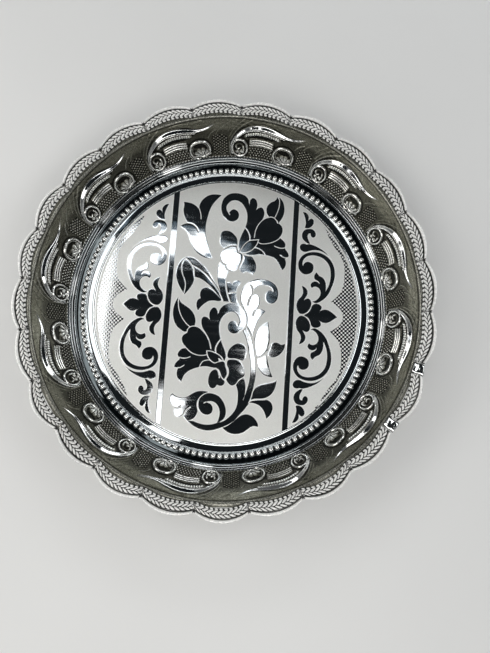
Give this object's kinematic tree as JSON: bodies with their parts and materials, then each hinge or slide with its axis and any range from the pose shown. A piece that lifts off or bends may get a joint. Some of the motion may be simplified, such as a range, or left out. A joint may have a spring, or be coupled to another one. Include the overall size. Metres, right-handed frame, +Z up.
{
  "type": "offering plate",
  "caption": "Deep round silver-plated offering plate with etched floor, beaded border, flared embossed wall and scalloped stamped rim.",
  "frame": {"origin": "centre of the plate, on the plane the foot ring rests on", "axes": "+Z up through the open top; +Y along the two straight bars of the etched floor, towards the top of the floor's figure"},
  "size_m": [0.2639, 0.265, 0.041],
  "materials": {
    "pan_silver": "silver-plated sheet, satin etched ground with mirror-polished figures",
    "polished_silver": "mirror-polished silver plate",
    "embossed_silver": "stippled, slightly oxidised silver plate with polished high spots",
    "rim_silver": "bright frosted silver plate"
  },
  "bodies": {
    "root": {"dish_pan": "pan_silver", "bead_border": "polished_silver", "wall_band": "embossed_silver", "rim_strip": "rim_silver", "closing_lobe": "rim_silver", "joint_plate_a": "polished_silver", "joint_plate_b": "polished_silver"}
  },
  "joints": []
}
